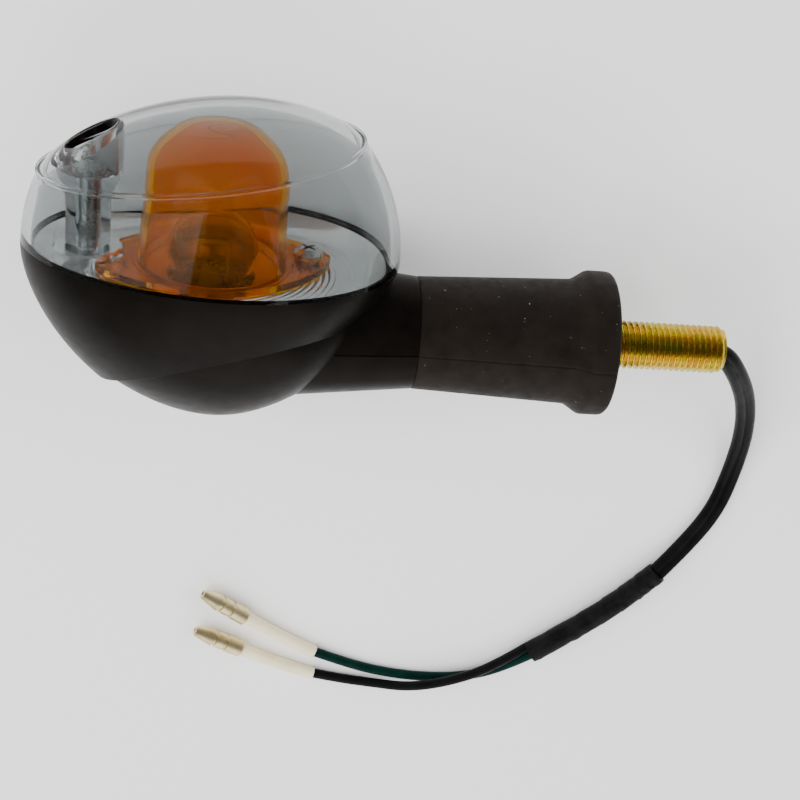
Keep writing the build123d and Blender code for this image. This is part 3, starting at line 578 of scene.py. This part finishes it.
# ---------------------------------------------------------------- housing's lower edge
def crease_point(t):
    """Point of the bowl's outside on its curved lower edge, found by halving the interval."""
    low, high = 0.0, 0.85 * BOWL_DEPTH
    for _ in range(HALVINGS):
        depth = (low + high) / 2
        size = shrink(depth / BOWL_DEPTH, BOWL_POWER)
        x = HEAD_X + BOWL_DRIFT * depth + HEAD_LENGTH * size * cos(t)
        if RIM_Y - depth > CREASE_TOP_Y - CREASE_CURVE * (x - CREASE_TOP_X) ** 2:
            low = depth
        else:
            high = depth
    return Vector((x, RIM_Y - depth, HEAD_WIDTH * size * sin(t) * (1 + HEAD_EGG * cos(t))))


def make_crease():
    """Fine rounded edge where the bowl overhangs the belly."""
    centre = Vector((HEAD_X, 0, 0))
    rings = []
    for t in circle(200):
        if cos(t) > EDGE_GAP_COSINE:
            continue
        place = crease_point(t)
        out = (place - centre) * Vector((1, 0, 1))
        out.normalize()
        over = Vector((0, 1, 0))
        inner = place + (over - out) * EDGE_SINK
        rings.append([inner + (out * cos(a) + over * sin(a)) * EDGE_RADIUS for a in circle(16)])
    add_piece("housing_edge", skin("edge", rings), "head", "black_housing")


make_crease()


# ---------------------------------------------------------------- reflector
def reflector_height(r, gap):
    """Top of the reflector at a distance from the lamp's axis and from its own edge."""
    if gap < SKIRT_WIDTH:
        return PLATE_TOP_Y + (SKIRT_TOP_Y - PLATE_TOP_Y) * ((SKIRT_WIDTH - gap) / SKIRT_WIDTH) ** 1.6
    if r < DISH_RADIUS:
        share = (r - BULB_HOLE_RADIUS) / (DISH_RADIUS - BULB_HOLE_RADIUS)
        return DISH_FLOOR_Y + (PLATE_TOP_Y - DISH_FLOOR_Y) * share
    ripple = abs(((r - DISH_RADIUS) / RIB_PITCH) % 1.0 - 0.5) * 2
    fade = min(1.0, (gap - SKIRT_WIDTH) / 2)
    return PLATE_TOP_Y - RIB_DEPTH * ripple * fade


def make_reflector():
    edges = []
    for t in circle(240):
        x = HEAD_X + (HEAD_LENGTH - REFLECTOR_INSET) * cos(t) - LAMP_X
        edges.append(Vector((x, 0, (HEAD_WIDTH - REFLECTOR_INSET) * sin(t) * (1 + HEAD_EGG * cos(t)))))
    axis = Vector((LAMP_X, 0, 0))
    rows = 110
    top, under = [], []
    for row in range(rows):
        ring = []
        for e in edges:
            r = BULB_HOLE_RADIUS + (e.length - BULB_HOLE_RADIUS) * row / (rows - 1)
            ring.append(axis + e.normalized() * r + Vector((0, reflector_height(r, e.length - r), 0)))
        top.append(ring)
        under.append([p - Vector((0, PLATE_THICKNESS, 0)) for p in ring])
    plate = skin("plate", top + list(reversed(under)), capped=False, sharp=60)
    pad = turned("pad", [
        (SCREW_HOLE_RADIUS, PAD_TOP_Y - PAD_HEIGHT), (PAD_RADIUS - 0.3, PAD_TOP_Y - PAD_HEIGHT),
        (PAD_RADIUS, PAD_TOP_Y - 1.2), (PAD_RADIUS, PAD_TOP_Y - 0.4), (PAD_RADIUS - 0.4, PAD_TOP_Y),
        (SCREW_HOLE_RADIUS, PAD_TOP_Y)], (COLUMN_X, 0), capped=False)
    slot = "chromed_plastic"
    add_piece("ribbed_reflector", plate, "head", slot, "reflector")
    add_piece("lens_pad", pad, "head", slot)
    x, z = LAMP_X - PEG_REACH * cos(FLANGE_TURN), PEG_REACH * sin(FLANGE_TURN)
    peg = turned("peg", [
        (PEG_RADIUS, PLATE_TOP_Y - PLATE_THICKNESS), (PEG_RADIUS, PEG_TOP_Y - 0.4),
        (PEG_RADIUS - 0.4, PEG_TOP_Y), (0.3, PEG_TOP_Y)], (x, z), sides=40)
    add_piece("cap_peg", peg, "head", slot)


make_reflector()


# ---------------------------------------------------------------- stud
def thread_radius(x, t):
    """Right-hand thread: flat crests, V grooves, and a run-out at both ends."""
    turn = (x / STUD_PITCH - t / (2 * pi)) % 1.0
    groove = max(0.0, min(1.0, (0.5 - abs(turn - 0.5)) * 2.5 - 0.2))
    lead_in = min(1.0, max(0.0, (STUD_LENGTH - x) / LEAD_IN_LENGTH))
    start = min(1.0, x / RUN_OUT_LENGTH)
    crest = STUD_RADIUS - LEAD_IN_DROP * (1 - lead_in)
    return crest - THREAD_DEPTH * groove * start * max(0.15, lead_in)


def make_stud():
    rows = 300
    angles = circle(96)
    outside = []
    for row in range(rows + 1):
        x = STUD_LENGTH * row / rows
        outside.append([(x, thread_radius(x, t) * cos(t), thread_radius(x, t) * sin(t)) for t in angles])
    flare = [(STUD_LENGTH, STUD_BORE + 0.8), (STUD_LENGTH - 0.9, STUD_BORE + 0.3)]
    bore = []
    for x, r in flare + [(STUD_LENGTH - 2.4, STUD_BORE), (0, STUD_BORE)]:
        bore.append([(x, r * cos(t), r * sin(t)) for t in angles])
    add_piece("threaded_stud", skin("stud", outside + bore, capped=False, sharp=32), "stem", "yellow_zinc")
    rim = STUD_FLANGE_RADIUS
    flange = turned("flange", [
        (STUD_BORE, -9), (rim - 0.2, -9), (rim, -8.8), (rim, -6.7), (rim - 0.2, -6.5), (MOULDED_RADIUS, -6.5),
        (MOULDED_RADIUS, 0), (STUD_BORE, 0)], (0, 0), "X", capped=False)
    add_piece("stud_flange", flange, "stem", "yellow_zinc", "hollow_stud")


make_stud()


# ---------------------------------------------------------------- rubber stem
def stem_angles():
    """Angles round the stem, closer together where the mould's parting line runs."""
    angles = circle(120)
    for line in (pi / 2, 3 * pi / 2):
        angles += [line + step for step in (-0.035, -0.02, -0.01, 0.01, 0.02, 0.035)]
    return sorted(angles)


def parting(t, depth):
    """Depth of the fine groove that the mould's halves leave along both sides."""
    off_line = min(abs(t - pi / 2), abs(t - 3 * pi / 2))
    return depth * max(0.0, 1 - off_line / PARTING_HALF_ANGLE)


def bendy(name, profile, slot, *nodes, groove=0.0):
    """Turned rubber or cable along X; profile is (x, radius)."""
    rings = []
    for x, r in profile:
        depth = groove if r > GROOVED_RADIUS else 0.0
        radii = [(t, r - parting(t, depth)) for t in stem_angles()]
        rings.append([(x, outer * cos(t), outer * sin(t)) for t, outer in radii])
    piece = add_piece(name, skin(name, rings, capped=False, sharp=50), None, slot, *nodes)
    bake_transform(piece)


def stem_profile():
    """Outline of half the stem: body, collar, then back through the bore that the stud and cable fill."""
    body = [(STEM_END_X, STEM_END_RADIUS - 0.35), (STEM_END_X + 0.15, STEM_END_RADIUS - 0.1)]
    steps = 24
    for i in range(steps + 1):
        x = STEM_END_X + 0.4 + 31.6 * i / steps
        body.append((x, STEM_END_RADIUS + 1.4 * (x - STEM_END_X) / 32.0))
    rim = COLLAR_RADIUS
    collar = [(-8.2, rim - 1.88), (-7.4, rim - 1.45), (-6.2, rim - 0.65), (-5.4, rim - 0.15), (-4.8, rim),
              (-1.3, rim), (-0.6, rim - 0.15), (-0.15, rim - 0.55), (0, rim - 1.1), (0, 5.05)]
    bore = [(-2, 4.7), (-6.4, 4.7), (-6.4, 9.6), (-9.1, 9.6), (-9.1, 4.2), (-33.4, 4.2), (-33.4, 8.2),
            (STEM_END_X, 8.2)]
    return body + collar + bore


def make_stem():
    bendy("rubber_stem_skin", stem_profile(), "black_rubber", "rubber_stem", groove=PARTING_DEPTH)
    far_x = SHEATH_ROUTE[0][0]
    rows = 40
    body = [(INNER_END_X + (far_x - INNER_END_X) * i / rows, INNER_RADIUS) for i in range(rows + 1)]
    bendy("inner_twin", [(INNER_END_X, 0.4)] + body + [(far_x, 0.4)], "black_pvc", "inner_sheath")


make_stem()


# ---------------------------------------------------------------- contact spring
def make_contact_coil():
    """The spring under the contact carrier, which moves with the carrier as a whole."""
    source = frame["nodes"]["contact_spring"]
    mesh = source.data.copy()
    mesh.transform(source.matrix_world)
    mesh.materials.clear()
    coil = add_piece("contact_coil", mesh, "contact", "spring_steel", "contact_spring")
    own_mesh(coil)


make_contact_coil()


# ---------------------------------------------------------------- studio
def make_studio():
    """Pale floor, a world that is bright below and grey above, and three large lamps."""
    floor_mesh = bpy.data.meshes.new("floor")
    reach = 3.0
    corners = [(x * reach, y * reach, FLOOR_Z * MM) for x, y in ((-1, -1), (1, -1), (1, 1), (-1, 1))]
    floor_mesh.from_pydata(corners, [], [(0, 1, 2, 3)])
    floor = bpy.data.objects.new("floor", floor_mesh)
    bpy.context.collection.objects.link(floor)
    look = Look("pale_floor", Roughness=0.9)
    look.shader.inputs["Base Color"].default_value = (0.92, 0.92, 0.92, 1)
    floor_mesh.materials.append(look.mat)
    world = bpy.data.worlds.new("studio")
    bpy.context.scene.world = world
    world.use_nodes = True
    nodes, links = world.node_tree.nodes, world.node_tree.links
    split = nodes.new("ShaderNodeSeparateXYZ")
    ramp = nodes.new("ShaderNodeValToRGB")
    links.new(nodes.new("ShaderNodeTexCoord").outputs["Generated"], split.inputs["Vector"])
    links.new(split.outputs["Z"], ramp.inputs["Fac"])
    links.new(ramp.outputs["Color"], nodes["Background"].inputs["Color"])
    ramp.color_ramp.elements[0].position = 0.25
    ramp.color_ramp.elements[0].color = (0.95, 0.95, 0.95, 1)
    ramp.color_ramp.elements[1].position = 0.8
    ramp.color_ramp.elements[1].color = (0.22, 0.22, 0.23, 1)
    nodes["Background"].inputs["Strength"].default_value = 0.6
    for name, place, size, power in (
        ("key", (-1.0, 0.1, 1.0), 1.6, 40.0),
        ("fill", (1.1, 0.3, 1.0), 1.6, 20.0),
        ("back", (0.1, -1.2, 0.9), 1.6, 18.0),
    ):
        light = bpy.data.lights.new(name, "AREA")
        light.size = size
        light.energy = power
        lamp = bpy.data.objects.new(name, light)
        bpy.context.collection.objects.link(lamp)
        lamp.location = place
        lamp.visible_glossy = name == "back"      # the others would show as panels in the lens
        lamp.rotation_euler = (Vector((-0.05, 0, 0)) - Vector(place)).to_track_quat("-Z", "Y").to_euler()


make_studio()
